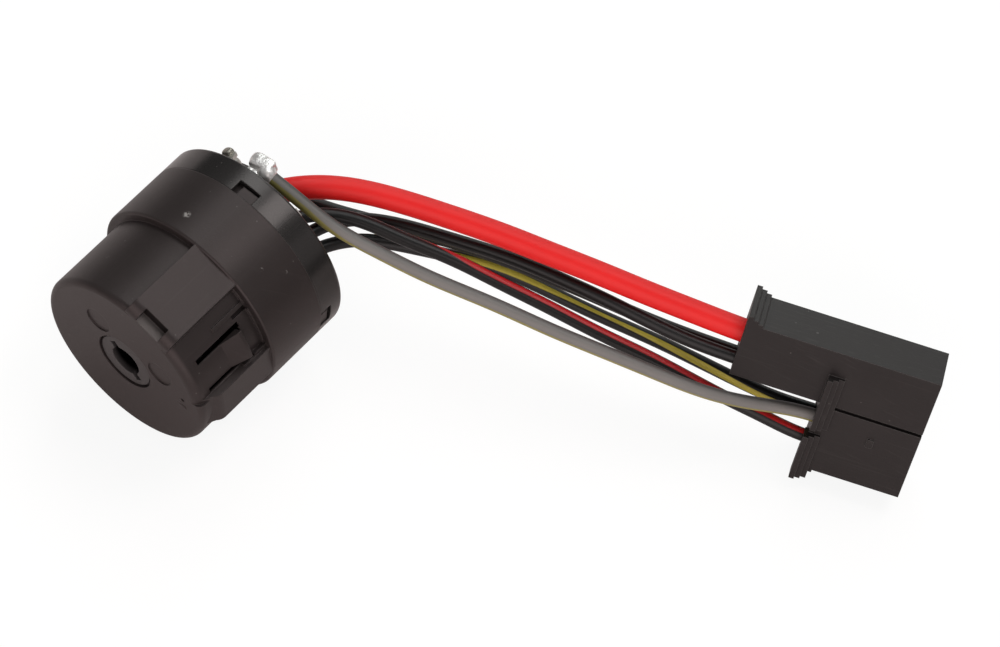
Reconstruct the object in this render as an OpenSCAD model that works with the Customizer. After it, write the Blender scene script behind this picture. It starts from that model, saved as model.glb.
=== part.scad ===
// Ignition switch with soldered leads and a two-tier plug.
// It lies on its side: the drive socket faces -Y, the leads leave at the back and run to +X.
// The origin is on the rotor axis, at the mouth of the drive socket.

/* [Body] */
// Diameter of the ring and of the rear cap
ring_d = 40; // [39.6:0.1:42]
// Length of the ring
ring_len = 12.7; // [11:0.1:16]
// Height of the ring over the front section
ring_step = 1.7; // [1.3:0.1:2]
// Length of the front section
front_len = 17; // [16.5:0.1:20]
// Wall of the front section
shell_t = 1.8; // [1.4:0.1:2.2]
// Thickness of the front face
face_t = 2.4; // [2:0.1:3]
// Rounding of the front edge
face_round = 1.2; // [0.6:0.1:1.6]
// Rounding of the ring's front edge
ring_round = 0.5; // [0.2:0.1:0.8]
// Thickness of the shoulder between the front section and the ring
shoulder_t = 1.8; // [1.2:0.1:2.6]

/* [Pads and marks] */
// Depth of the flat top panel's edges below the ring
panel_sink = 0.05; // [0.05:0.05:0.4]
// Width of the top panel
panel_w = 10.1; // [8:0.1:10.6]
// Middle of the top panel
panel_angle = 76.6; // [74:0.2:79]
// Rounding of the pads' front edge
pad_round = 2.3; // [1.4:0.1:2.4]
// Angle that the flat guide pad faces
guide_angle = 11; // [9:0.5:12]
// Depth of the guide pad's middle below the ring
guide_sink = 0.7; // [0.6:0.05:0.9]
// Width of the guide pad from its middle towards the latch
guide_left = 2.6; // [2:0.1:2.8]
// Width of the guide pad from its middle away from the latch
guide_right = 4.7; // [3:0.1:4.7]
// Distance of the guide pad from the face
guide_start = 2.4; // [1.6:0.1:3.2]
// Depth of the step beside the guide pad's rear
guide_step = 0.55; // [0.4:0.05:0.8]
// Angle where that step ends
guide_to = 21; // [20.5:0.5:24]
// Distance of that step from the face
guide_split = 11.3; // [8:0.1:13]
// Width of the notch in the panel's front edge
notch_w = 5.3; // [3:0.1:6]
// Depth of the notch below the panel
notch_depth = 2.1; // [1.4:0.1:2.2]
// Length of the notch along the axis
notch_len = 2.2; // [1.6:0.1:3.4]
// Diameter of the two round marks on the face
mark_d = 5.3; // [4:0.1:5.6]
// Depth of the marks on the face
mark_depth = 0.25; // [0.15:0.05:0.5]
// Distance of the round marks from the axis
mark_r = 9.6; // [9.2:0.1:11]

/* [Latch] */
// Angle where the pocket round the latch arm starts
pocket_from = 17; // [16:0.5:18]
// Depth of the pocket below the front section
pocket_sink = 0.45; // [0.3:0.05:0.6]
// Rounding of the pocket's front edge
pocket_round = 1.9; // [0.6:0.1:2]
// Angle of the slot below the latch arm
latch_from = 21.5; // [21.5:0.5:25]
// Angle of the slot above the latch arm
latch_to = 42.9; // [40:0.1:46]
// Distance of the latch arm's root from the face
latch_root = 3.3; // [3.1:0.1:5]
// Length of the latch arm
latch_len = 9.9; // [8:0.1:11]
// Width of the slots beside the arm
slot_w = 1.1; // [0.8:0.1:1.4]
// Width of the slot at the arm's free end
slot_end = 0.6; // [0.4:0.1:1]
// Height of the latch tooth over the arm
tooth_h = 1; // [0.5:0.1:1.4]
// Length of the tooth's ramp
tooth_len = 4.2; // [3:0.1:6]
// Height of the rib beside the arm
rib_h = 0.4; // [0.2:0.1:0.8]

/* [Rear cap] */
// Length of the rear cap
cap_len = 5.7; // [5.2:0.1:7]
// Side wall of the cap
cap_wall = 1.3; // [1:0.1:1.6]
// Rear wall of the cap
cap_back = 1.8; // [1.4:0.1:2.4]
// Rounding of the cap's rear edge
cap_round = 0.6; // [0.2:0.1:1]
// Clearance between the cap and the housing's spigot
cap_fit = 0.1; // [0.05:0.05:0.2]
// Length of the spigot inside the cap
spigot_len = 3.2; // [2.8:0.1:3.4]
// Wall of the spigot
spigot_t = 1.4; // [1:0.1:1.6]
// Angle of the first snap window
window_angle = 92.5; // [80:0.5:100]
// Width of a snap window
window_w = 4.7; // [4:0.1:6]
// Length of a snap window along the axis
window_len = 2.65; // [2.2:0.05:2.75]
// Gap behind a snap lug
lug_gap = 0.5; // [0.3:0.1:0.8]
// Gap on a snap lug's open side
lug_side = 1.2; // [0.4:0.1:1.6]
// Depth of a snap lug below the cap's surface
lug_sink = 0.4; // [0.3:0.1:0.9]

/* [Rotor] */
// Diameter of the rotor boss in the face
boss_d = 11.2; // [10:0.1:12]
// Depth of the boss below the face
boss_recess = 0.3; // [0.1:0.1:0.6]
// Width of the open groove round the boss
groove_w = 0.4; // [0.2:0.1:0.6]
// Depth of the open groove round the boss
groove_depth = 0.9; // [0.6:0.1:1.2]
// Radial running clearance of the rotor
run_fit = 0.05; // [0.03:0.01:0.08]
// End play of the rotor
end_play = 0.1; // [0.05:0.05:0.2]
// Diameter of the round drive socket
socket_d = 6.2; // [5:0.1:6.6]
// Depth of the drive socket
socket_depth = 9; // [8.5:0.5:10]
// Length of the cross slot of the socket
key_len = 9; // [7.5:0.1:9.4]
// Width of the cross slot
key_t = 1.5; // [1:0.1:2]
// Depth of the cross slot
key_depth = 6.5; // [4:0.5:8]
// Angle of the cross slot at rest
key_angle = 138; // [90:1:180]
// Diameter of the rotor drum
drum_d = 18; // [16:0.5:18.5]
// Diameter of the detent wheel
star_d = 23; // [21:0.5:23.5]
// Width of the detent wheel
star_t = 4.5; // [3:0.5:5]
// Distance of the detent wheel from the face wall
star_gap = 1.6; // [1:0.1:2]
// Diameter of the contact carrier
carrier_d = 29; // [28:0.5:30]
// Thickness of the contact carrier
carrier_t = 2.5; // [2:0.1:3]
// Diameter of the hub that guides the contact bridge
hub_d = 12.4; // [11.6:0.1:12.8]
// Diameter of the rear pivot
pivot_d = 6; // [5:0.1:7]

/* [Springs] */
// Thickness of the detent leaf
leaf_t = 0.5; // [0.3:0.1:0.6]
// Clearance of the detent leaf in its seat
leaf_fit = 0.1; // [0.05:0.05:0.15]
// Wire of the return spring
return_wire_d = 1; // [0.8:0.1:1.1]
// Wire of the contact springs
press_wire_d = 0.5; // [0.4:0.1:0.6]
// Outer diameter of the contact springs
press_d = 4; // [3.4:0.1:4.4]
// Length of the contact springs
press_len = 4.1; // [3.5:0.1:5]

/* [Contacts] */
// Thickness of the terminals
tag_t = 0.8; // [0.6:0.1:1]
// Width of the terminals
tag_w = 3.2; // [2.6:0.1:3.4]
// Length of a solder tag beyond its lead's end
tag_over = 1.7; // [1:0.1:3]
// Distance of the outer tags from the cap's outside
tag_edge = 3.6; // [3.3:0.1:4]
// Distance of the inner tags from the axis
tag_inner = 10.7; // [10:0.1:11.2]
// Clearance of a tag in its slot
tag_fit = 0.1; // [0.05:0.05:0.2]
// Thickness of the contact bridge
bridge_t = 0.8; // [0.6:0.1:1]
// Height of the contact domes
dome_h = 0.9; // [0.6:0.1:1]
// Gap between the domes and the fixed contacts
dome_gap = 0.1; // [0.05:0.05:0.3]
// Radius of the inner contact track
track_inner = 9.4; // [9.2:0.1:9.8]
// Radius of the outer contact track
track_outer = 13.8; // [13.6:0.1:14]

/* [Leads] */
// Diameter of the feed lead
feed_d = 4.4; // [3.6:0.1:4.6]
// Diameter of the thin leads
lead_d = 2.5; // [1.8:0.1:2.5]
// Size of a solder joint beyond its lead
solder_t = 0.6; // [0.4:0.1:0.8]

/* [Plug] */
// Length of the upper tier
plug_len = 36.3; // [34:0.1:42]
// Thickness of the plug
plug_t = 9; // [8.5:0.1:12]
// Height of both tiers
plug_w = 28.7; // [28:0.1:34]
// Height of the upper tier
upper_w = 12.5; // [12.4:0.1:14]
// Length of the lower tier
lower_len = 19.4; // [18:0.1:24]
// Width of the groove between the tiers
tier_groove = 0.8; // [0.5:0.1:1.2]
// Length of one step of the ridged flanges
step_len = 1; // [0.8:0.1:1.2]
// Height of one step of the ridged flanges
step_h = 0.6; // [0.3:0.1:0.7]
// Depth of the lead holes
hole_depth = 4; // [3:0.5:6]
// Clearance round a lead in its hole
hole_fit = 0.4; // [0.3:0.05:0.5]
// Depth of the contact cavities
cavity_depth = 8; // [6:0.5:10]
// Depth of the contacts below the plug's face
contact_sink = 0.6; // [0.3:0.1:1]
// Clearance of a contact in its cavity
contact_fit = 0.1; // [0.05:0.05:0.2]

/* [Hidden] */
$fn = 64;
spring_sides = 6;
return_turns = 4;
return_corners = 20;
eps = 0.01;
steps = 3;

// Radii and stations along the axis, counted from the front face
ring_r = ring_d / 2;
front_r = ring_r - ring_step;
guide_h = ring_r - guide_sink;
panel_h = sqrt(pow(ring_r - panel_sink, 2) - pow(panel_w / 2, 2));
bore_r = front_r - shell_t;
pocket_r = front_r - pocket_sink;
pad_in = bore_r + shell_t / 4;
pad_end = front_len + ring_round;
boss_r = boss_d / 2;
spigot_r = ring_r - cap_wall - cap_fit;
ring_bore_r = spigot_r - spigot_t;
cap_f = front_len + ring_len;
end_f = cap_f + cap_len;
end_y = end_f - boss_recess;
tag_outer = ring_r - tag_edge;
back_f = end_f - cap_back;
pad_f = back_f - tag_t;
bridge_f = pad_f - dome_gap - dome_h - bridge_t;
carrier_f = bridge_f - press_len - carrier_t;
star_f = face_t + star_gap;
return_f = star_f + star_t + return_wire_d;
hub_f = bridge_f + bridge_t + dome_h / 2;
seat_f = hub_f + end_play;
pivot_f = back_f + cap_back / 4;
latch_f = latch_root + latch_len;

// Detent positions: off, accessory and run, seen from the front clockwise
detents = [0, 35, 70];
detent_side = 270;
nose_r = 2.2;
nose_tip = 0.8;
nose_foot = 3.2;
notch_mid = star_d / 2 + 1.3;
leaf_in = star_d / 2 + 1.8;
leaf_out = leaf_in + leaf_t;
leaf_end = sqrt(pow(bore_r - leaf_fit, 2) - pow(leaf_out, 2));
post_t = 1.1;
post_x = 6.2;
post_end = star_f + star_t + 0.5;

// Round marks on the face and the position wedge
mark_angles = [134, 36];
wedge_angle = 7;
wedge_r = 12.4;
wedge_len = 2.2;
wedge_w = 1.2;
pit_angle = 13.7;
pit_r = 13.8;
pit_d = 0.8;
pocket_under = 14;
rib_from = 50;
rib_to = 52.5;
rib_start = 9;
groove_angle = 48.2;
groove_start = 13.6;

// The plug stands on its lower flange and leans back
plug_x = 78.2;
plug_y = end_y + 41.3;
plug_yaw = 23.65;
plug_lean = 19.4;
flange_h = steps * step_h;
plug_z = -ring_r + plug_t * sin(plug_lean) + (plug_w + flange_h) * cos(plug_lean);
lower_x = plug_len - lower_len;
arm_from = 5.5;
arm_to = 18;
foot_from = 20;
foot_shift = 0.7;
pip_x = 9;
pip_w = 17.3;
pip_size = [1.3, 0.3, 1.9];

// Leads: name, diameter, colour, terminal angle, tag radius,
// hole [x, depth, height] and contact [depth, height, thickness, width] in the plug,
// and the lead's end [outwards, round, back] from its tag and the cap's rear face
leads = [
    ["red", feed_d, "red", 110, tag_inner, [0, 4.4, 5], [4.5, 4.6, 2.4, 6.6], [-2, -1, 2.9]],
    ["black_a", lead_d, "black", 32, tag_inner, [0, 1.9, 9.9], [2.7, 10.3, 2.6, 1.9], [-1.7, 0.3, 2.4]],
    ["black_b", lead_d, "black", 128, tag_outer, [0, 4.5, 10.8], [6.3, 10.3, 2.6, 1.9], [-1.8, 0, 1.9]],
    ["black_red", lead_d, "black", 62, tag_inner, [lower_x, 1.9, 22.6], [4.5, 25, 2.4, 3.4],
     [-1.5, -0.2, 2.4]],
    ["black_yellow", lead_d, "black", 5, tag_inner, [lower_x, 4.6, 18.2], [4.5, 20.6, 2.4, 3.4],
     [-1.7, 0.2, 2.4]],
    ["grey", lead_d, "gray", 103, tag_outer, [lower_x, 1.9, 17.2], [4.5, 16.2, 2.4, 3.4], [-0.4, -1.6, 2.9]]
];

// Routes of the leads from the solder joint to the hole in the plug, counted from the cap's rear face
routes = [
    [[-0.5, 4.9, 9.5], [2, 7.9, 10], [8, 13.4, 10], [16.5, 18.4, 9.5], [25, 22.4, 9],
     [34, 26.4, 8.5], [42.5, 29.9, 7.5], [51.5, 33.4, 7], [60.5, 36.9, 6], [69.5, 40.4, 5.5],
     [74.5, 42.4, 5], [82, 45.4, 5]],
    [[8, 5.4, 5], [9.5, 9.9, 5], [15, 15.4, 4.5], [21.5, 18.9, 4.5], [28.5, 22.4, 4],
     [35, 25.4, 4], [44.5, 28.9, 3.5], [54, 31.9, 3], [63.5, 34.4, 2.5], [71, 36.9, 1.5], [76, 38.9, 1.5],
     [83.5, 41.9, 1.5]],
    [[-7.5, 4.4, 8.5], [-2, 7.9, 4], [4.5, 10.9, 2.5], [15, 16.4, 2], [21.5, 19.9, 1.5],
     [28, 23.4, 1.5], [35, 26.4, 1], [44, 29.9, 0.5], [53.5, 32.9, 0.5], [62.5, 35.9, 0],
     [70, 38.9, -0.5], [75, 40.9, -0.5], [82.5, 43.9, -0.5]],
    [[5, 4.4, 8], [9, 8.4, 8.5], [13.5, 11.4, 8], [21, 13.9, 7], [29.5, 17.9, 5.5],
     [39, 20.9, 4], [48.5, 24.4, 2], [57.5, 27.4, 0], [67, 31.4, -2.5], [76, 34.9, -5.5],
     [83.5, 37.9, -8], [89, 40.4, -9.5], [93, 41.4, -10.5], [100.5, 44.9, -10.5]],
    [[9.5, 4.4, 1], [11, 7.4, 1.5], [14, 11.9, 1], [20, 16.4, 0], [27.5, 21.4, -1],
     [36, 26.4, -2], [45, 29.4, -3], [54.5, 32.4, -4], [64, 35.9, -5], [73.5, 38.9, -6],
     [81.5, 41.4, -7], [88, 43.4, -7.5], [92, 45.4, -7.5], [99, 48.4, -7.5]],
    [[-0.5, 2.9, 16], [2, 3.4, 15], [5.5, 3.9, 14], [12.5, 4.4, 12.5], [20, 6.9, 11],
     [28.5, 9.9, 9], [42.5, 15.9, 6.5], [52, 19.4, 5], [60.5, 23.4, 3], [69, 27.4, 1], [78, 31.9, -1.5],
     [85.5, 37.4, -4], [92.5, 43.4, -5.5], [100, 46.4, -5.5]]
];
function joint(k) =
    let (lead = leads[k], a = lead[3], r = lead[4] + lead[7][0], t = lead[7][1])
    [r * cos(a) - t * sin(a), end_y + lead[7][2], r * sin(a) + t * cos(a)];
function route(k) = concat([joint(k)], [for (point = routes[k]) point + [0, end_y, 0]]);

// Contact domes on the bridge: angle and track radius
domes = [[110, track_inner], [32, track_inner], [5, track_inner], [128, track_outer], [250, track_inner]];
press_angles = [80, 200, 320];
press_r = (hub_d + carrier_d) / 4;

lead_names = [for (lead = leads) lead[0]];

// Placement helpers: the switch axis along +Y, angles from +X towards +Z
module axial() {
    translate([0, -boss_recess, 0]) rotate([-90, 0, 0]) children();
}

module at(angle, radius = 0) {
    rotate([0, 0, -angle]) translate([radius, 0, 0]) children();
}

module sector(from, to) {
    rotate([0, 0, -to]) rotate_extrude(angle = to - from) children();
}

module plug() {
    translate([plug_x, plug_y, plug_z]) rotate([0, 0, plug_yaw]) rotate([-plug_lean, 0, 0]) children();
}

// Half profile of a turned band, with its outer edges rounded
module band(r_in, r_out, z0, z1, front_round = 0, back_round = 0) {
    difference() {
        translate([r_in, z0]) square([r_out - r_in, z1 - z0]);
        if (front_round > 0)
            translate([r_out - front_round, z0 + front_round]) corner(front_round, -1);
        if (back_round > 0)
            translate([r_out - back_round, z1 - back_round]) corner(back_round, 1);
    }
}

// What a rounding of radius r takes off a corner
module corner(r, side) {
    difference() {
        translate([0, side > 0 ? 0 : -r - 1]) square(r + 1);
        circle(r);
    }
}

// Tube swept along a list of points, with flat ends
function unit(v) = v / norm(v);
function tangent(path, i) = unit(path[min(i + 1, len(path) - 1)] - path[max(i - 1, 0)]);
function ring_points(path, i, r, sides, up) =
    let (t = tangent(path, i), across = unit(cross(t, up)), over = cross(across, t))
    [for (k = [0 : sides - 1]) path[i] + r * (cos(360 * k / sides) * across + sin(360 * k / sides) * over)];

module tube(path, d, sides, up = [0, 0, 1]) {
    rings = len(path);
    points = [for (i = [0 : rings - 1]) each ring_points(path, i, d / 2, sides, up)];
    walls = [for (i = [0 : rings - 2], k = [0 : sides - 1])
        let (a = i * sides + k, b = i * sides + (k + 1) % sides)
        each [[a, b, b + sides], [a, b + sides, a + sides]]];
    start = [for (k = [sides - 1 : -1 : 0]) k];
    end = [for (k = [0 : sides - 1]) (rings - 1) * sides + k];
    polyhedron(points, concat([start, end], walls));
}

module coil(r, wire, length, turns, per_turn) {
    count = turns * per_turn;
    path = [for (i = [0 : count])
        [r * cos(360 * i / per_turn), r * sin(360 * i / per_turn),
         wire / 2 + (length - wire) * i / count]];
    tube(path, wire, spring_sides);
}

// Front housing: face, sleeve, ring and spigot, with pads, snap lugs and the latch arm
module housing_profile() {
    band(boss_r + run_fit, front_r, 0, face_t, face_round);
    band(bore_r, front_r, 0, front_len + shoulder_t, face_round);
    band(bore_r, ring_r, front_len, front_len + shoulder_t, ring_round);
    band(ring_bore_r, ring_r, front_len, cap_f, ring_round);
    band(ring_bore_r, spigot_r, cap_f - eps, cap_f + spigot_len);
}

module guide_pad() {
    ramp_f = guide_start + pad_round / 3;
    at(guide_angle) translate([0, guide_right, 0]) rotate([90, 0, 0]) linear_extrude(guide_left + guide_right) {
        band(pad_in, guide_h, guide_start, pad_end, pad_round);
        polygon([[pad_in, guide_start / 2], [pocket_r - pocket_sink / 2, guide_start / 2],
                 [guide_h - 0.3 * pad_round, ramp_f], [pad_in, ramp_f]]);
    }
    sector(guide_angle, guide_to) band(pad_in, guide_h - guide_step, guide_split, pad_end);
}

module pocket() {
    sector(pocket_from, panel_angle - pocket_under) {
        translate([pocket_r, -1]) square([ring_step + tooth_h, front_len + 1 - ring_round / 2]);
        translate([pocket_r - pocket_round, pocket_round]) corner(pocket_round, -1);
    }
}

module panel_pad() {
    foot = bore_r - 1;
    at(panel_angle) translate([0, panel_w / 2, 0]) rotate([90, 0, 0]) linear_extrude(panel_w) {
        band(pad_in, panel_h, 0, pad_end, pad_round);
        translate([foot, face_t / 24]) square([panel_h - 0.75 * pad_round - foot, 0.7 * face_t]);
    }
}

module snap_lugs() {
    for (k = [0 : 3])
        at(window_angle + 90 * k)
            translate([spigot_r - spigot_t / 2, -window_w / 2 + lug_side, cap_f - eps])
                cube([cap_wall + cap_fit + spigot_t / 2 - lug_sink,
                      window_w - lug_side - cap_fit, window_len - lug_gap]);
}

module latch_tooth() {
    sector(latch_from, latch_to)
        polygon([[pocket_r - shell_t / 2, latch_f - tooth_len], [pocket_r, latch_f - tooth_len],
                 [front_r + tooth_h, latch_f - tooth_len / 6], [front_r + tooth_h, latch_f],
                 [pocket_r - shell_t / 2, latch_f]]);
}

module latch_slots() {
    for (angle = [latch_from, latch_to])
        at(angle, bore_r - 1) translate([0, -slot_w / 2, latch_root])
            cube([shell_t + tooth_h + 2, slot_w, latch_len + 1.5 * slot_end]);
    sector(latch_from, latch_to) band(bore_r - 1, front_r + tooth_h + 1, latch_f, latch_f + slot_end);
}

module leaf_posts() {
    for (side = [-1, 1])
        at(detent_side) translate([leaf_in - leaf_fit - post_t, side * post_x - post_t / 2, face_t - eps])
            cube([post_t, post_t, post_end - face_t]);
}

module face_marks() {
    for (angle = mark_angles)
        at(angle, mark_r) translate([0, 0, -1]) cylinder(d = mark_d, h = 1 + mark_depth);
    at(wedge_angle, wedge_r) translate([0, 0, -1]) linear_extrude(1 + mark_depth / 2)
        polygon([[0, 0], [wedge_len, -wedge_w / 2], [wedge_len, wedge_w / 2]]);
    at(pit_angle, pit_r) translate([0, 0, -1]) cylinder(d = pit_d, h = 1 + 2 * mark_depth);
}

module front_housing() {
    color([0.13, 0.13, 0.13]) axial() difference() {
        union() {
            difference() {
                rotate_extrude() housing_profile();
                pocket();
            }
            panel_pad();
            guide_pad();
            snap_lugs();
            latch_tooth();
            sector(rib_from, rib_to)
                band(pocket_r - shell_t / 2, pocket_r + rib_h, rib_start, front_len + eps);
            leaf_posts();
        }
        translate([0, 0, -1]) cylinder(r = boss_r + groove_w, h = 1 + groove_depth);
        face_marks();
        at(panel_angle, panel_h - notch_depth) translate([0, -notch_w / 2, -1])
            cube([notch_depth + 1, notch_w, 1 + notch_len]);
        latch_slots();
        at(groove_angle, pocket_r - rib_h) translate([0, -rib_h, groove_start])
            cube([1, 2 * rib_h, front_len - groove_start]);
    }
}

// Rear cap: cup with snap windows, tag slots and the rear bearing
module cap_profile() {
    band(spigot_r + cap_fit, ring_r, cap_f, end_f, 0, cap_round);
    band(0, ring_r, back_f, end_f, 0, cap_round);
    band(pivot_d / 2 + run_fit, hub_d / 2, seat_f, back_f + eps);
}

module rear_cap() {
    color([0.06, 0.06, 0.06]) axial() difference() {
        union() {
            rotate_extrude() cap_profile();
            translate([0, 0, end_f - eps]) cylinder(d = hub_d, h = cap_back / 2);
        }
        translate([0, 0, seat_f]) cylinder(r = pivot_d / 2 + run_fit, h = pivot_f + end_play - seat_f);
        for (k = [0 : 3])
            at(window_angle + 90 * k, spigot_r - 1) translate([0, -window_w / 2, cap_f - 1])
                cube([cap_wall + 3, window_w, 1 + window_len]);
        for (lead = leads)
            at(lead[3], lead[4]) translate([-tag_t / 2 - tag_fit, -tag_w / 2 - tag_fit, back_f - 1])
                cube([tag_t + 2 * tag_fit, tag_w + 2 * tag_fit, cap_back + 3]);
    }
}

// Rotor: boss with the drive socket, detent wheel, contact carrier and rear pivot
module rotor_profile() {
    band(0, boss_r, boss_recess, face_t + end_play + eps);
    band(0, drum_d / 2, face_t + end_play, carrier_f + eps);
    band(0, star_d / 2, star_f, star_f + star_t);
    band(0, carrier_d / 2, carrier_f, carrier_f + carrier_t);
    band(0, hub_d / 2, carrier_f, hub_f);
    band(0, pivot_d / 2, hub_f - eps, pivot_f);
}

module rotor() {
    color([0.28, 0.28, 0.28]) axial() difference() {
        rotate_extrude() rotor_profile();
        translate([0, 0, boss_recess - 1]) cylinder(d = socket_d, h = 1 + socket_depth);
        at(key_angle) translate([-key_len / 2, -key_t / 2, boss_recess - 1])
            cube([key_len, key_t, 1 + key_depth]);
        for (angle = detents)
            at(detent_side + angle, notch_mid) translate([0, 0, star_f - 1])
                cylinder(r = nose_r, h = star_t + 2);
    }
}

// Detent leaf: a flat strip with a folded nose in the wheel's notch
module detent_spring() {
    mid = leaf_in + leaf_t / 2;
    tip = notch_mid - nose_r + leaf_t + leaf_fit;
    path = [[mid, -leaf_end], [mid, -nose_foot], [tip, -nose_tip],
            [tip, nose_tip], [mid, nose_foot], [mid, leaf_end]];
    normal = [for (i = [0 : len(path) - 1])
        let (t = tangent(path, i)) [t[1], -t[0]]];
    outer = [for (i = [0 : len(path) - 1]) path[i] + normal[i] * leaf_t / 2];
    inner = [for (i = [len(path) - 1 : -1 : 0]) path[i] - normal[i] * leaf_t / 2];
    color("silver") axial() at(detent_side) translate([0, 0, star_f])
        linear_extrude(star_t) polygon(concat(outer, inner));
}

module return_spring() {
    r = (drum_d / 2 + return_wire_d / 2 + leaf_fit) / cos(180 / return_corners);
    color("silver") axial() translate([0, 0, return_f - return_wire_d / 2])
        coil(r, return_wire_d, return_turns * 1.3 * return_wire_d, return_turns, return_corners);
}

// Contact bridge: a sprung plate that turns with the rotor
module contact_bridge() {
    color([0.72, 0.5, 0.25]) axial() {
        difference() {
            translate([0, 0, bridge_f]) cylinder(d = carrier_d + 1, h = bridge_t);
            translate([0, 0, bridge_f - 1]) cylinder(r = hub_d / 2 + 4 * run_fit, h = bridge_t + 2);
        }
        for (dome = domes)
            at(dome[0], dome[1]) translate([0, 0, bridge_f + bridge_t - eps])
                cylinder(r1 = 1.4, r2 = 0.8, h = dome_h + eps);
    }
}

module contact_spring(k) {
    color("silver") axial() at(press_angles[k], press_r) translate([0, 0, carrier_f + carrier_t])
        coil(press_d / 2 - press_wire_d / 2, press_wire_d, press_len, 4, 10);
}

// Terminals: a fixed contact inside the cap, a tag through its wall and the solder joint
module terminal(k) {
    angle = leads[k][3];
    radius = leads[k][4];
    inner_end = radius == tag_outer ? track_outer - 1.2 : track_inner - 1.4;
    joint_f = end_f + leads[k][7][2];
    color([0.8, 0.8, 0.78]) {
        axial() at(angle) {
            translate([inner_end, -tag_w / 2, pad_f]) cube([radius + tag_t / 2 - inner_end, tag_w, tag_t]);
            translate([radius - tag_t / 2, 0, 0]) rotate([90, 0, 90]) linear_extrude(tag_t)
                polygon([[-tag_w / 2, pad_f], [tag_w / 2, pad_f], [tag_w / 2, joint_f],
                         [tag_w / 4, joint_f + tag_over], [-tag_w / 4, joint_f + tag_over],
                         [-tag_w / 2, joint_f]]);
        }
        translate(joint(k)) rotate([0, 0, 90]) sphere(leads[k][1] / 2 + solder_t);
    }
}

module wire(k) {
    d = leads[k][1];
    color(leads[k][2]) tube(route(k), d, d > lead_d ? 12 : 8);
}

// Plug: two tiers with stepped flanges, lead holes at one end and contact cavities at the other
module flange_steps(run) {
    for (i = [0 : steps - 1])
        cube([(steps - i) * step_len, run, (i + 1) * step_h]);
}

module near_steps(x, from, to) {
    translate([x, 0, -to]) for (i = [0 : steps - 1])
        translate([0, -(i + 1) * step_h, 0])
            cube([(steps - i) * step_len, (i + 1) * step_h + eps, to - from]);
}

module plug_body() {
    translate([0, 0, -upper_w]) cube([plug_len, plug_t, upper_w]);
    translate([lower_x, 0, -plug_w]) cube([lower_len, plug_t, plug_w - upper_w + eps]);
    translate([0, 0, -eps]) flange_steps(plug_t);
    translate([lower_x, plug_t, -plug_w + eps]) rotate([180, 0, 0]) flange_steps(plug_t);
    near_steps(lower_x, arm_from, arm_to);
    translate([-foot_shift, 0, 0]) near_steps(lower_x, foot_from, plug_w + flange_h);
    translate([lower_x - foot_shift, -eps, -plug_w - flange_h])
        cube([foot_shift + eps, step_len + eps, plug_w + flange_h - foot_from]);
    translate([plug_len - pip_x, -pip_size[1], -pip_w - pip_size[2]]) cube(pip_size + [0, eps, 0]);
}

module plug_housing() {
    color([0.16, 0.16, 0.16]) plug() difference() {
        plug_body();
        translate([lower_x + steps * step_len, -1, -upper_w - tier_groove])
            cube([lower_len, 1 + tier_groove, tier_groove]);
        for (lead = leads) {
            hole = lead[5];
            contact = lead[6];
            translate([hole[0] - 1, hole[1], -hole[2]]) rotate([0, 90, 0])
                cylinder(r = lead[1] / 2 + hole_fit, h = 1 + hole_depth);
            translate([plug_len - cavity_depth, contact[0] - contact[2] / 2, -contact[1] - contact[3] / 2])
                cube([cavity_depth + 1, contact[2], contact[3]]);
        }
    }
}

module plug_contact(k) {
    contact = leads[k][6];
    thick = contact[2] - 2 * contact_fit;
    wide = contact[3] - 2 * contact_fit;
    long = cavity_depth - contact_sink;
    color([0.75, 0.6, 0.3]) plug() translate([plug_len - cavity_depth, contact[0], -contact[1]])
        difference() {
            translate([0, -thick / 2, -wide / 2]) cube([long, thick, wide]);
            translate([long / 3, -thick / 6, -wide]) cube([long, thick / 3, 2 * wide]);
        }
}

front_housing();
rear_cap();
rotor();
detent_spring();
return_spring();
contact_bridge();
for (k = [0 : len(press_angles) - 1])
    contact_spring(k);
for (k = [0 : len(leads) - 1]) {
    terminal(k);
    wire(k);
    plug_contact(k);
}
plug_housing();
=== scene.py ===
"""Looks of an ignition switch with six soldered leads and a two-tier plug.

The solids give the moulded pieces. This script gives them their finishes and makes the leads,
the solder joints and the light. Lengths are in metres, in the solids' own frame, unless the text
beside them says millimetres.
"""

import bpy
import numpy as np
from mathutils import Matrix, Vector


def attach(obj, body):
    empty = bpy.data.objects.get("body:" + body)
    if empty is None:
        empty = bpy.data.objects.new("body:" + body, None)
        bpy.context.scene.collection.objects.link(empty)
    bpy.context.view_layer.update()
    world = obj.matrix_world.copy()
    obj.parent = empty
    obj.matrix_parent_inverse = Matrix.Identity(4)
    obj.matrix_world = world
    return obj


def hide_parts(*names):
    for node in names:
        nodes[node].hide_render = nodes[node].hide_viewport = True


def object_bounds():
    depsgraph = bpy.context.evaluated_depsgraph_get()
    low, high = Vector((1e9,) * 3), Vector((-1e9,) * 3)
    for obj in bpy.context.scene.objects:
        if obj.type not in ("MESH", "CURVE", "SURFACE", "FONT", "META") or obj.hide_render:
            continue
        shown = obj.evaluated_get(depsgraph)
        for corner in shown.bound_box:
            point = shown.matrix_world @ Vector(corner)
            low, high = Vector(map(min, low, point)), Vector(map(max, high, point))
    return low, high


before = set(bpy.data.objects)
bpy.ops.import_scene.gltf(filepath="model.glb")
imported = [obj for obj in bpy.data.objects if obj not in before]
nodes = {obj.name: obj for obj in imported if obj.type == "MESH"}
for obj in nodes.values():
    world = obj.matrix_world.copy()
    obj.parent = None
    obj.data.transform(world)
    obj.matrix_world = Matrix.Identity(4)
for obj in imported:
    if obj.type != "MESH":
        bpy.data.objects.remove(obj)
solid_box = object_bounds()
MM = 0.001


# Material nodes


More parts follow.
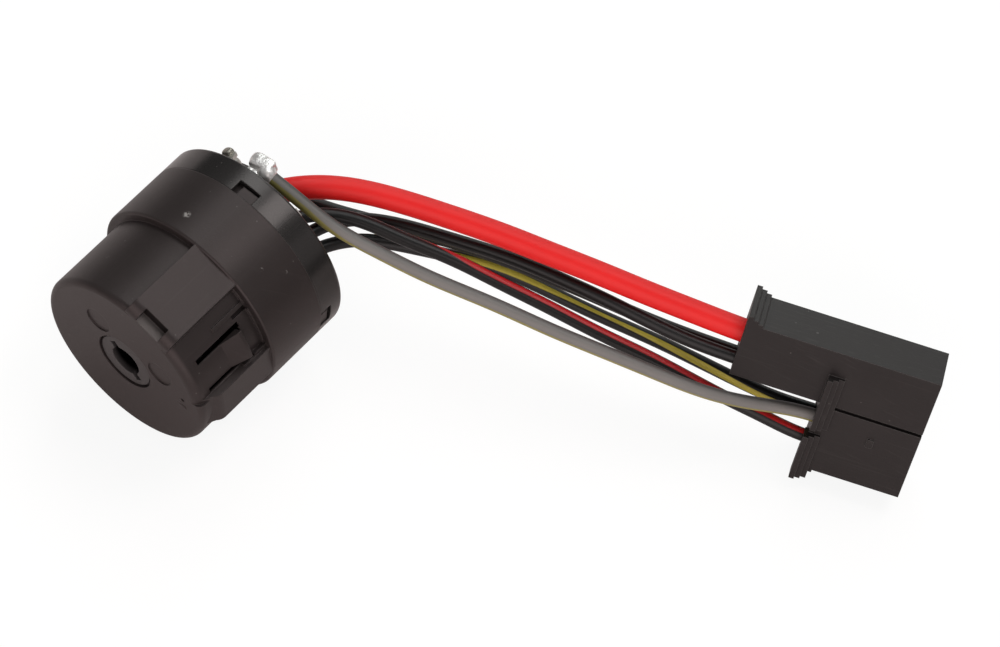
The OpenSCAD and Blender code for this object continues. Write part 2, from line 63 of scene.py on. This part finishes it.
class Sock:
    """A node's output. Arithmetic on it adds Math nodes."""

    def __init__(self, finish, socket):
        self.finish = finish
        self.socket = socket

    def _math(self, operation, first, second):
        return self.finish.node("Math", {"operation": operation}, {0: first, 1: second})

    def __add__(self, other):
        return self._math("ADD", self, other)

    def __radd__(self, other):
        return self._math("ADD", other, self)

    def __sub__(self, other):
        return self._math("SUBTRACT", self, other)

    def __rsub__(self, other):
        return self._math("SUBTRACT", other, self)

    def __mul__(self, other):
        return self._math("MULTIPLY", self, other)

    def __rmul__(self, other):
        return self._math("MULTIPLY", other, self)

    def __pow__(self, other):
        return self._math("POWER", self, other)

    def most(self, other):
        return self._math("MAXIMUM", self, other)

    def least(self, other):
        return self._math("MINIMUM", self, other)

    def size(self):
        return self._math("ABSOLUTE", self, 0.0)

    def ease(self, low, high):
        """0 below low, 1 above high, with a smooth step between."""
        inputs = {0: self, 1: low, 2: high, 3: 0.0, 4: 1.0}
        return self.finish.node("MapRange", {"interpolation_type": "SMOOTHSTEP"}, inputs)

    def above(self, edge, blur):
        """0 up to the edge and 1 once past it by the blur, both in millimetres."""
        return self.ease(edge * MM, (edge + blur) * MM)

    def below(self, edge, blur):
        """1 up to the edge and 0 once past it by the blur, both in millimetres."""
        return 1.0 - self.above(edge, blur)


class Finish:
    """A material: node() adds any node, and the other methods name what the finishes share."""

    def __init__(self, name, **constants):
        self.material = bpy.data.materials.new(name)
        self.material.use_nodes = True
        self.tree = self.material.node_tree
        self.shader = self.tree.nodes["Principled BSDF"]
        self.constants(**constants)

    def node(self, kind, settings=None, inputs=None, output=0):
        made = self.tree.nodes.new("ShaderNode" + kind)
        for key, value in (settings or {}).items():
            setattr(made, key, value)
        for key, value in (inputs or {}).items():
            self.feed(made.inputs[key], value)
        return Sock(self, made.outputs[output])

    def feed(self, socket, value):
        if isinstance(value, Sock):
            self.tree.links.new(value.socket, socket)
        elif hasattr(value, "__len__") and socket.type == "RGBA":
            socket.default_value = (*value[:3], 1.0)
        else:
            socket.default_value = value

    def constants(self, **values):
        """Sets the shader's sockets: underscores in the names stand for spaces."""
        for name, value in values.items():
            self.feed(self.shader.inputs[name.replace("_", " ")], value)

    def cover(self, share, second):
        """Lays a second shader over the finish by that share."""
        inputs = {0: share, 1: Sock(self, self.shader.outputs[0]), 2: second}
        mixed = self.node("MixShader", None, inputs)
        self.tree.links.new(mixed.socket, self.tree.nodes["Material Output"].inputs["Surface"])

    def shade(self, share):
        """Paints shade: turns the finish into plain black by that share, in the depths of holes and slots.
        """
        self.cover(share, self.node("BsdfDiffuse", None, {"Color": PAINTED_SHADE_BLACK}))

    def place(self):
        return self.node("TexCoord", output="Object")

    def axis(self, vector, letter):
        return self.node("SeparateXYZ", None, {0: vector}, output=letter)

    def from_axis(self):
        """Distance from the rotor axis, and the station along it."""
        place = self.place()
        x, y, z = (self.axis(place, letter) for letter in "XYZ")
        return (x * x + z * z) ** 0.5, y

    def toward(self, angle):
        """How far a point lies out from the rotor axis in the direction at that angle, in degrees."""
        a = np.radians(angle)
        inputs = {0: self.place(), 1: (np.cos(a), 0.0, np.sin(a))}
        return self.node("VectorMath", {"operation": "DOT_PRODUCT"}, inputs, output="Value")

    def along(self):
        """A lead's own map: distance along it, and the turn round it from 0 to 1."""
        where = self.node("UVMap", {"uv_map": "lead"})
        return self.axis(where, "X"), self.axis(where, "Y")

    def spot(self, centre, size):
        """1 round a point of the part, fading out at that size, both in millimetres."""
        core = 0.4 * size
        inputs = {0: self.place(), 1: tuple(c * MM for c in centre)}
        away = self.node("VectorMath", {"operation": "DISTANCE"}, inputs, output="Value")
        return away.below(core, size - core)

    def noise(self, scale, detail=2.0, vector=None):
        inputs = {"Vector": vector or self.place(), "Scale": scale, "Detail": detail}
        return self.node("TexNoise", None, inputs)

    def specks(self, scale, size, rarity):
        """Small round grains: 1 inside a cell's middle, and only in the cells whose own number is high."""
        inputs = {"Vector": self.place(), "Scale": scale}
        near = self.node("TexVoronoi", None, inputs, output="Distance")
        own = self.node("TexVoronoi", None, inputs, output="Color")
        pick = self.axis(own, "X").ease(rarity, rarity + 0.01)
        return (1.0 - near.ease(0.6 * size, size)) * pick

    def scuffs(self, turn):
        """Thin faint streaks: noise stretched along the turned X axis, kept only where it is highest."""
        streak = (30.0 * MM, 0.6 * MM, 0.6 * MM)
        inputs = {0: self.place(), "Rotation": turn, "Scale": streak}
        stretched = self.node("Mapping", {"vector_type": "TEXTURE"}, inputs)
        return self.noise(1.0, 2.0, stretched).ease(0.58, 0.8)

    def edges(self, radius):
        """The normal with the solid's sharp edges eased by that radius, in millimetres."""
        return self.node("Bevel", {"samples": 6}, {"Radius": radius * MM})

    def painted_edge_highlight(self, radius):
        """1 on the solid's sharp edges, where the eased normal leaves the true one; it masks the painted
        highlight along the edges.
        """
        true = self.node("NewGeometry", output="True Normal")
        inputs = {0: self.edges(radius), 1: true}
        same = self.node("VectorMath", {"operation": "DOT_PRODUCT"}, inputs, output="Value")
        return (1.0 - same).ease(0.02, 0.22)

    def relief(self, height, depth, normal=None):
        """The normal over a surface with that height, which is depth millimetres at most."""
        inputs = {"Strength": 1.0, "Distance": depth * MM, "Height": height}
        if normal is not None:
            inputs["Normal"] = normal
        return self.node("Bump", None, inputs)

    def blend(self, share, first, second):
        return self.node("Mix", {"data_type": "RGBA"}, {0: share, 6: first, 7: second}, output=2)


# Camera, floor and light

# Lamps: place, size, power in watts, tint
LAMPS = {
    "top_lamp": ((0.19, 0.47, 0.91), (0.40, 0.6), 2.8, (1.0, 0.98, 0.975)),
    "side_lamp": ((-0.37, 0.47, 0.81), (0.33, 0.6), 1.9, (0.96, 1.0, 1.0)),
    "front_lamp": ((0.42, -1.00, 0.52), (2.0, 1.2), 13.8, (1.0, 0.88, 0.865)),
    "right_lamp": ((0.95, -0.42, 0.16), (0.5, 0.25), 0.5, (1.0, 0.95, 0.94)),
    "far_right_lamp": ((0.85, 0.45, 0.44), (0.5, 0.5), 0.3, (1.0, 0.95, 0.94)),
    "back_lamp": ((-0.38, 0.95, 0.42), (0.5, 0.4), 1.6, (0.93, 1.0, 0.98)),
}
LAMP_TARGET = (0.05, 0.04, 0.0)


def placed(columns):
    """The matrix with these three axes and this place as its columns."""
    return Matrix([*np.stack(columns, axis=1).tolist(), [0, 0, 0, 1]])


def make_camera():
    """A long lens above the front, turned so that the leads run down to the right."""
    right = np.array([0.7610, 0.6366, 0.1248])
    down = np.array([0.6110, -0.6386, -0.4679])
    away = np.cross(right, down)
    place = np.array([206.03, -270.74, 652.52]) * MM
    data = bpy.data.cameras.new("camera")
    data.lens = 149.9
    data.sensor_width = 36.0
    data.clip_end = 20.0
    camera = bpy.data.objects.new("camera", data)
    camera.matrix_world = placed([right, -down, -away, place])
    bpy.context.scene.collection.objects.link(camera)
    bpy.context.scene.camera = camera


def make_floor():
    """A wide pale sheet under the part. The camera sees it nearly white, with the soft shadow kept."""
    plain = (0.87, 0.82, 0.81)
    in_mirrors = (0.73, 0.67, 0.66)
    glow_share = 0.8
    half_width = 3.0
    gap = 0.2 * MM
    finish = Finish("pale_floor")
    mirrored = finish.node("LightPath", output="Is Glossy Ray")
    sheet = finish.blend(mirrored, plain, in_mirrors)
    finish.constants(Base_Color=sheet, Roughness=0.9, Specular_IOR_Level=0.0)
    seen = finish.node("LightPath", output="Is Camera Ray")
    glow = finish.node("Emission", None, {"Color": (0.99, 1.0, 1.0), "Strength": 1.08})
    finish.cover(seen * glow_share, glow)
    height = solid_box[0].z - gap
    signs = [(-1, -1), (1, -1), (1, 1), (-1, 1)]
    corners = [(x * half_width, y * half_width, height) for x, y in signs]
    mesh = bpy.data.meshes.new("floor")
    mesh.from_pydata(corners, [], [(0, 1, 2, 3)])
    mesh.materials.append(finish.material)
    floor = bpy.data.objects.new("floor", mesh)
    bpy.context.scene.collection.objects.link(floor)


def make_lamp(name, place, size, power, tint):
    """A soft lamp at place, facing the part."""
    data = bpy.data.lights.new(name, "AREA")
    data.shape = "RECTANGLE"
    data.size, data.size_y = size
    data.energy = power
    data.color = tint
    lamp = bpy.data.objects.new(name, data)
    back = unit(np.array(place) - np.array(LAMP_TARGET))
    side = unit(np.cross([0.0, 0.0, 1.0], back))
    up = np.cross(back, side)
    lamp.matrix_world = placed([side, up, back, np.array(place)])
    bpy.context.scene.collection.objects.link(lamp)


def make_room():
    """A dim room that is lighter overhead."""
    world = bpy.data.worlds.new("studio")
    world.use_nodes = True
    made = world.node_tree.nodes
    links = world.node_tree.links
    where = made.new("ShaderNodeTexCoord")
    parts = made.new("ShaderNodeSeparateXYZ")
    level = made.new("ShaderNodeMapRange")
    level.interpolation_type = "SMOOTHSTEP"
    level.inputs["From Min"].default_value = 0.05
    level.inputs["From Max"].default_value = 0.9
    level.inputs["To Min"].default_value = 0.10
    level.inputs["To Max"].default_value = 0.35
    links.new(where.outputs["Generated"], parts.inputs[0])
    links.new(parts.outputs["Z"], level.inputs["Value"])
    links.new(level.outputs[0], made["Background"].inputs["Strength"])
    made["Background"].inputs["Color"].default_value = (1.0, 1.0, 1.0, 1.0)
    bpy.context.scene.world = world


def make_light():
    """Two lamps over the back, a wide one in front, weak ones at the right and behind, and a dim room."""
    for name, lamp in LAMPS.items():
        make_lamp(name, *lamp)
    make_room()
    bpy.context.scene.view_settings.view_transform = "Standard"


# Surfaces


def unit(v):
    return v / np.linalg.norm(v, axis=-1, keepdims=True)


def distance_along(line):
    """The distance from a line's start to each of its points."""
    return np.concatenate([[0], np.cumsum(np.linalg.norm(np.diff(line, axis=0), axis=1))])


def put_mesh(name, points, faces, finish, maps=None):
    """A piece from points and faces. maps gives each point its place in the lead's own map."""
    mesh = bpy.data.meshes.new(name)
    mesh.from_pydata(points.tolist(), [], faces)
    if maps is not None:
        layer = mesh.uv_layers.new(name="lead")
        corners = np.empty(len(mesh.loops), np.int32)
        mesh.loops.foreach_get("vertex_index", corners)
        layer.data.foreach_set("uv", maps[corners].astype(np.float32).ravel())
    mesh.shade_smooth()
    mesh.materials.append(finish.material)
    piece = bpy.data.objects.new(name, mesh)
    bpy.context.scene.collection.objects.link(piece)
    return piece


def grid_faces(rows, columns):
    """The quads of a grid of points that is open along its rows and has its columns' seam doubled."""
    at = np.arange(rows * columns).reshape(rows, columns)
    return np.stack([at[:-1, :-1], at[:-1, 1:], at[1:, 1:], at[1:, :-1]], axis=-1).reshape(-1, 4)


def smooth_route(points, step=0.4 * MM, ease=4.0 * MM):
    """A smooth line through a lead's route points, given in millimetres.

    Each stretch is a cubic whose end slopes are the weighted mean of the neighbouring chords. The line
    is then taken at even steps, and each point is moved to the Gaussian mean of those around it, with
    both ends carried on straight so that they stay where they are.
    """
    stops = np.array(points, float) * MM
    passed = distance_along(stops)
    span = np.diff(passed)[:, None]
    chord = np.diff(stops, axis=0) / span
    inner = (chord[:-1] * span[1:] + chord[1:] * span[:-1]) / (span[1:] + span[:-1])
    slope = np.concatenate([chord[:1], inner, chord[-1:]])
    at = np.linspace(0, passed[-1], int(passed[-1] / step) + 1)
    leg = np.clip(np.searchsorted(passed, at, side="right") - 1, 0, len(passed) - 2)
    u = (at - passed[leg])[:, None] / span[leg]
    line = (
        (1 + 2 * u) * (1 - u) ** 2 * stops[leg]
        + u * (1 - u) ** 2 * span[leg] * slope[leg]
        + u**2 * (3 - 2 * u) * stops[leg + 1]
        + u**2 * (u - 1) * span[leg] * slope[leg + 1]
    )
    extra = len(line) // 3
    before = 2 * line[0] - line[extra:0:-1]
    after = 2 * line[-1] - line[-2 : -extra - 2 : -1]
    longer = np.concatenate([before, line, after])
    order = np.arange(len(longer))
    weight = np.exp(-0.5 * ((order[None, :] - order[:, None]) * step / ease) ** 2)
    weight /= weight.sum(axis=1, keepdims=True)
    return (weight @ longer)[extra : extra + len(line)]


def lead_tube(name, line, diameter, finish, sides=40):
    """A round tube: at each point of the line a circle in the plane across it.

    The turn round it is counted from the right side upwards.
    """
    ahead = unit(np.gradient(line, axis=0))
    across = unit(np.cross(ahead, [0.0, 0.0, 1.0]))
    over = np.cross(across, ahead)
    turn = np.linspace(0, 2 * np.pi, sides + 1)[None, :]
    ring = np.cos(turn)[..., None] * across[:, None, :] + np.sin(turn)[..., None] * over[:, None, :]
    points = line[:, None, :] + 0.5 * diameter * ring
    length = distance_along(line)[:, None]
    maps = np.stack(np.broadcast_arrays(length, turn / (2 * np.pi)), axis=-1)
    faces = grid_faces(*points.shape[:2]).tolist()
    return put_mesh(name, points.reshape(-1, 3), faces, finish, maps.reshape(-1, 2))


# Finishes

# Colours: the pale of dust and scuffs, also of the painted edge highlight and the painted light on the
# notch's floor; the dark of the painted shade on a lead's upper side; the black of the painted shade in
# holes and slots
PALE = (0.30, 0.29, 0.275)
PAINTED_SHADE_DARK = (0.02, 0.02, 0.02)
PAINTED_SHADE_BLACK = (0.0006, 0.0006, 0.0006)

# How the scuffs are turned about the three axes, in radians, on the round housing and on the plug
ROUND = ((0.0, 0.0, 1.57), (0.3, 0.6, 0.9))
FLAT = ((0.0, 0.0, 0.413), (-0.34, 0.25, 0.413))

# Places on the housing: angles in degrees, lengths in millimetres
PANEL_ANGLE = 76.6
PANEL_HEIGHT = 19.1
NOTCH_HALF_WIDTH = 2.6
NOTCH_FLOOR = 17.05
NOTCH_END = 1.8
LATCH_ANGLE = 32.2
LATCH_FRONT = 2.6
LATCH_INSIDE = 14.2
SLOT_DEPTHS = 17.25

# Places on the rotor, in millimetres
SOCKET_RADIUS = 4.8
SOCKET_END = 9.4

# Places on the leads: the turn of the upper side, where the painted shade lies, and the distance of a
# stripe's narrowest place
UPPER_SIDE = 0.40
WAIST = 0.057


def moulding(
    name, low, high, rough, grain=0.012, dust=0.14, edge=0.04, rub=0.012, streaks=ROUND, marks=(),
    paler=None, **constants,
):
    """A plastic moulding: cloudy tone, fine grain, dust specks, faint scuffs and a painted highlight along
    the edges.

    dust, rub and edge say how pale the specks, the scuffs and the painted edge highlight are. marks lists
    single spots:
    place and size in millimetres, and how pale. paler is a function for the shares that a piece adds, such
    as painted light.
    """
    f = Finish(name, **constants)
    cloud = f.noise(90.0, 3.0)
    tone = f.blend(cloud, low, high)
    specks = f.specks(700.0, 0.13, 0.9).most(f.specks(260.0, 0.08, 0.93))
    scuff = f.scuffs(streaks[0]).most(f.scuffs(streaks[1]))
    # The edges are painted paler, as a highlight.
    pale = (specks * dust + scuff * rub).most(f.painted_edge_highlight(0.22) * edge)
    for centre, size, share in marks:
        ragged = f.noise(1800.0, 2.0).ease(0.38, 0.6)
        pale = pale.most(f.spot(centre, size) * ragged * share)
    if paler is not None:
        pale = pale.most(paler(f))
    f.constants(Base_Color=f.blend(pale, tone, PALE))
    f.constants(Roughness=rough + cloud * 0.1)
    f.constants(Normal=f.relief(f.noise(2600.0), grain, f.edges(0.25)))
    return f


def in_notch(f):
    """1 between the notch's side walls and below the panel of the housing."""
    across = f.toward(PANEL_ANGLE - 90).size()
    return across.below(NOTCH_HALF_WIDTH, 0.1) * f.toward(PANEL_ANGLE).below(PANEL_HEIGHT, 0.15)


def painted_notch_light(f):
    """Painted light: the notch's floor is made a little paler, as brightly lit as the panel beside it."""
    height = f.toward(PANEL_ANGLE)
    station = f.from_axis()[1]
    low = height.above(NOTCH_FLOOR, 0.1) * height.below(NOTCH_FLOOR + 0.25, 0.15)
    return in_notch(f) * low * station.below(NOTCH_END, 0.08) * 0.16


def housing_black():
    """The housing's matt black, with a few pale marks, painted light on the notch's floor, and painted
    shade in its slots.
    """
    marks = [
        ((-5.6, 20.6, 19.2), 0.9, 0.9),
        ((10.4, 22.4, 17.0), 0.5, 0.5),
        ((13.2, 26.0, 15.0), 0.4, 0.4),
    ]
    f = moulding(
        "housing_black", (0.0178, 0.0144, 0.0140), (0.0247, 0.0201, 0.0195), 0.36, marks=marks,
        paler=painted_notch_light, IOR=1.38, Specular_Tint=(1.0, 0.86, 0.85),
    )
    radius, station = f.from_axis()
    by_latch = f.toward(LATCH_ANGLE).above(LATCH_INSIDE, 0.6) * station.above(LATCH_FRONT, 0.4)
    slots = radius.below(SLOT_DEPTHS, 0.45) * by_latch
    end_wall = station.above(NOTCH_END, 0.08) * station.below(NOTCH_END + 0.15, 0.15)
    # Painted shade: the slots beside the latch and the notch's end wall are turned black.
    f.shade(slots.most(in_notch(f) * end_wall * 0.6))
    return f


def rotor_grey():
    """The rotor's smooth dark grey, with painted shade: black down inside the drive socket."""
    f = moulding("rotor_grey", (0.030, 0.027, 0.027), (0.042, 0.038, 0.038), 0.40, IOR=1.40)
    radius, station = f.from_axis()
    inside = radius.below(SOCKET_RADIUS, 0.4) * station.below(SOCKET_END, 0.4)
    # Painted shade: black down inside the drive socket.
    f.shade(station.above(0.2, 1.2) * inside)
    return f


def metal(name, low, high, rough, lumps=0.05, **constants):
    """Stamped or drawn metal, or solder, with a slightly uneven, dulled surface."""
    f = Finish(name, **{"Metallic": 1.0, **constants})
    cloud = f.noise(500.0, 4.0)
    f.constants(Base_Color=f.blend(cloud, low, high))
    f.constants(Roughness=rough + cloud * 0.2)
    f.constants(Normal=f.relief(f.noise(900.0, 3.0), lumps, f.edges(0.1)))
    return f


def stripe_band(f, length, turn, middle, width, away, widen, reach, drift, slim):
    """1 on a lead's stripe. lead_skin says what the values are."""
    sway = f.node("TexNoise", {"noise_dimensions": "1D"}, {"W": length, "Scale": 28.0, "Detail": 1.0})
    early = 1.0 - length.ease(*reach)
    late = length.ease(0.055, 0.108)
    off = (turn - middle - early * away - late * drift - 0.06 * (sway - 0.5)).size()
    round_off = off.least((1.0 - off).size())
    waist = 1.0 - (length - WAIST).size().ease(0.0, 0.022)
    half = early * (0.5 * widen) + 0.5 * width * (1.0 - slim * waist)
    return 1.0 - (round_off - half).ease(-0.015, 0.015)


def lead_skin(
    name, low, high, rough=0.33, stripe=None, middle=0.25, width=0.15, away=0.0, widen=0.0,
    reach=(0, 0.01), drift=0.0, dull=0.0, slim=0.0,
):
    """Satin lead insulation, with a coloured stripe where the lead has one.

    The stripe lies at the turn middle. Before the distance reach it lies further round by away, and is
    wider by widen. drift turns it slowly over the further half of the lead, and slim is the share of its
    width that it loses halfway. dull is how much darker the lead is along its upper side: a painted shade.
    """
    f = Finish(name, IOR=1.38)
    length, turn = f.along()
    cloud = f.noise(160.0, 3.0)
    tone = f.blend(cloud, low, high)
    if dull:
        # Painted shade: the lead is darker along its upper side.
        upper = 1.0 - (turn - UPPER_SIDE).size().ease(0.03, 0.24)
        tone = f.blend(upper * dull, tone, PAINTED_SHADE_DARK)
    if stripe is not None:
        band = stripe_band(f, length, turn, middle, width, away, widen, reach, drift, slim)
        tone = f.blend(band, tone, f.blend(cloud, stripe, tuple(0.8 * c for c in stripe)))
    dust = f.specks(900.0, 0.12, 0.95)
    f.constants(Base_Color=f.blend(dust * 0.15, tone, PALE))
    f.constants(Roughness=rough + cloud * 0.1)
    f.constants(Normal=f.relief(f.noise(700.0, 2.0), 0.006))
    return f


# Leads

# Route points of each lead in millimetres, as in the solids
ROUTES = {
    "red": [
        (-2, 38, 8.5), (-0.5, 40, 9.5), (2, 43, 10), (8, 48.5, 10), (16.5, 53.5, 9.5), (25, 57.5, 9),
        (34, 61.5, 8.5), (42.5, 65, 7.5), (51.5, 68.5, 7), (60.5, 72, 6), (69.5, 75.5, 5.5),
        (74.5, 77.5, 5), (82, 80.5, 5),
    ],
    "black_a": [
        (7.5, 37.5, 5), (8, 40.5, 5), (9.5, 45, 5), (15, 50.5, 4.5), (21.5, 54, 4.5), (28.5, 57.5, 4),
        (35, 60.5, 4), (44.5, 64, 3.5), (54, 67, 3), (63.5, 69.5, 2.5), (71, 72, 1.5), (76, 74, 1.5),
        (83.5, 77, 1.5),
    ],
    "black_b": [
        (-9, 37, 11.5), (-7.5, 39.5, 8.5), (-2, 43, 4), (4.5, 46, 2.5), (15, 51.5, 2), (21.5, 55, 1.5),
        (28, 58.5, 1.5), (35, 61.5, 1), (44, 65, 0.5), (53.5, 68, 0.5), (62.5, 71, 0),
        (70, 74, -0.5), (75, 76, -0.5), (82.5, 79, -0.5),
    ],
    "black_red": [
        (4.5, 37.5, 8), (5, 39.5, 8), (9, 43.5, 8.5), (13.5, 46.5, 8), (21, 49, 7), (29.5, 53, 5.5),
        (39, 56, 4), (48.5, 59.5, 2), (57.5, 62.5, 0), (67, 66.5, -2.5), (76, 70, -5.5),
        (83.5, 73, -8), (89, 75.5, -9.5), (93, 76.5, -10.5), (100.5, 80, -10.5),
    ],
    "black_yellow": [
        (9, 37.5, 1), (9.5, 39.5, 1), (11, 42.5, 1.5), (14, 47, 1), (20, 51.5, 0), (27.5, 56.5, -1),
        (36, 61.5, -2), (45, 64.5, -3), (54.5, 67.5, -4), (64, 71, -5), (73.5, 74, -6),
        (81.5, 76.5, -7), (88, 78.5, -7.5), (92, 80.5, -7.5), (99, 83.5, -7.5),
    ],
    "grey": [
        (-2, 38, 16), (-0.5, 38, 16), (2, 38.5, 15), (5.5, 39, 14), (12.5, 39.5, 12.5), (20, 42, 11),
        (28.5, 45, 9), (42.5, 51, 6.5), (52, 54.5, 5), (60.5, 58.5, 3), (69, 62.5, 1), (78, 67, -1.5),
        (85.5, 72.5, -4), (92.5, 78.5, -5.5), (100, 81.5, -5.5),
    ],
}
THICK_LEAD = 4.4 * MM
THIN_LEAD = 2.5 * MM
BLACK = ((0.0050, 0.0048, 0.0048), (0.0085, 0.0080, 0.0080))


def make_leads():
    """Each lead is a smooth tube along its route, from its solder joint into the plug."""
    skins = {
        "red": lead_skin("red_lead", (0.74, 0.009, 0.009), (0.82, 0.013, 0.012), 0.42),
        "black_a": lead_skin("black_lead_a", *BLACK),
        "black_b": lead_skin("black_lead_b", *BLACK),
        "black_red": lead_skin(
            "black_red_lead", *BLACK, stripe=(0.46, 0.012, 0.015), middle=0.27, width=0.15,
            away=0.19, reach=(0.022, 0.036),
        ),
        "black_yellow": lead_skin(
            "black_yellow_lead", *BLACK, stripe=(0.70, 0.58, 0.085), middle=0.20, width=0.155,
            away=0.35, reach=(0.006, 0.024), drift=-0.20, slim=0.5,
        ),
        "grey": lead_skin(
            "grey_lead", (0.165, 0.157, 0.148), (0.195, 0.186, 0.175), 0.40, stripe=(0.27, 0.24, 0.075),
            middle=0.94, width=0.17, widen=0.24, reach=(0.008, 0.022), dull=0.7,
        ),
    }
    for name, route in ROUTES.items():
        diameter = THICK_LEAD if name == "red" else THIN_LEAD
        line = smooth_route(route)
        piece = lead_tube("lead_" + name, line, diameter, skins[name])
        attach(piece, "switch")
        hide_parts("wire_" + name)


# Solder joints and solids


def solder_lump(name, centre, half, angle, lean, finish, seed):
    """A solder joint on the tag at that angle, with sizes in millimetres.

    It is a squared-off ellipsoid: the radius in each direction makes the fourth powers of the three
    parts add up to 1, and slow sine waves in random directions make it uneven. lean turns it in the
    plane of its tag.
    """
    rows, columns = 48, 72
    wave_count = 9
    wave_pace = 2.4
    wave_height = 0.22
    down = np.linspace(0, np.pi, rows + 2)[1:-1, None]
    turn = np.linspace(0, 2 * np.pi, columns, endpoint=False)[None, :]
    parts = [np.sin(down) * np.cos(turn), np.sin(down) * np.sin(turn), np.cos(down) + 0 * turn]
    ball = np.concatenate([np.stack(parts, axis=-1).reshape(-1, 3), [[0, 0, 1], [0, 0, -1]]])
    rng = np.random.default_rng(seed)
    ways = rng.normal(size=(wave_count, 3)) * wave_pace
    waves = np.sin(ball @ ways.T + rng.uniform(0, 6.3, wave_count)).mean(axis=1)
    radius = (ball**4).sum(axis=1) ** -0.25 * (1 + wave_height * waves)
    local = ball * radius[:, None] * np.array(half)
    a, b = np.radians(angle), np.radians(lean)
    across, back, out = np.array([[np.sin(a), 0, -np.cos(a)], [0, 1, 0], [np.cos(a), 0, np.sin(a)]])
    axes = np.stack([np.cos(b) * across + np.sin(b) * back, np.cos(b) * back - np.sin(b) * across, out])
    points = (np.array(centre) + local @ axes) * MM
    ring = np.arange(rows * columns).reshape(rows, columns)
    beside = np.roll(ring, -1, axis=1)
    walls = np.stack([ring[:-1], ring[1:], beside[1:], beside[:-1]], axis=-1).reshape(-1, 4)
    poles = np.full(columns, rows * columns)
    top = np.stack([poles, ring[0], beside[0]], axis=-1)
    bottom = np.stack([poles + 1, beside[-1], ring[-1]], axis=-1)
    piece = put_mesh(name, points, [*walls.tolist(), *top.tolist(), *bottom.tolist()], finish)
    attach(piece, "switch")


def make_solder(bright):
    """The two joints that show over the cap's edge: a large bright one and a dull tip."""
    dull = metal("dull_solder", (0.30, 0.285, 0.25), (0.48, 0.455, 0.40), 0.38, lumps=0.10)
    solder_lump("solder_grey", (-3.7, 38.8, 16.25), (2.35, 1.5, 1.15), 103, 4, bright, seed=4)
    solder_lump("solder_black_b", (-10.9, 38.0, 12.8), (0.95, 0.9, 0.75), 128, 10, dull, seed=7)


def dress_solids(bright):
    """Gives every solid its finish."""
    steel = metal("spring_steel", (0.42, 0.42, 0.41), (0.60, 0.60, 0.59), 0.25)
    brass = metal("contact_brass", (0.58, 0.42, 0.17), (0.70, 0.52, 0.24), 0.25)
    tin = metal("tinned_tag", (0.42, 0.41, 0.38), (0.58, 0.57, 0.54), 0.3)
    chosen = {
        "front_housing": housing_black(),
        "rear_cap": moulding(
            "cap_black", (0.010, 0.0095, 0.0092), (0.015, 0.014, 0.0135), 0.17, grain=0.003,
            IOR=1.46, Specular_Tint=(1.0, 0.92, 0.90),
        ),
        "rotor": rotor_grey(),
        "terminal_grey": bright,
        "plug_housing": moulding(
            "plug_black", (0.0080, 0.0068, 0.0067), (0.0155, 0.0133, 0.0131), 0.38, edge=0.18,
            rub=0.025, streaks=FLAT, IOR=1.40, Specular_Tint=(1.0, 0.93, 0.92),
        ),
    }
    families = {"terminal_": tin, "plug_contact_": brass, "contact_bridge": brass}
    for name, solid in nodes.items():
        finish = chosen.get(name)
        if finish is None:
            finish = next((made for start, made in families.items() if name.startswith(start)), steel)
        solid.data.materials.clear()
        solid.data.materials.append(finish.material)


make_camera()
make_floor()
make_light()
make_leads()
bright_solder = metal(
    "bright_solder", (0.72, 0.70, 0.68), (0.94, 0.93, 0.91), 0.26, lumps=0.25, Metallic=0.75
)
make_solder(bright_solder)
dress_solids(bright_solder)
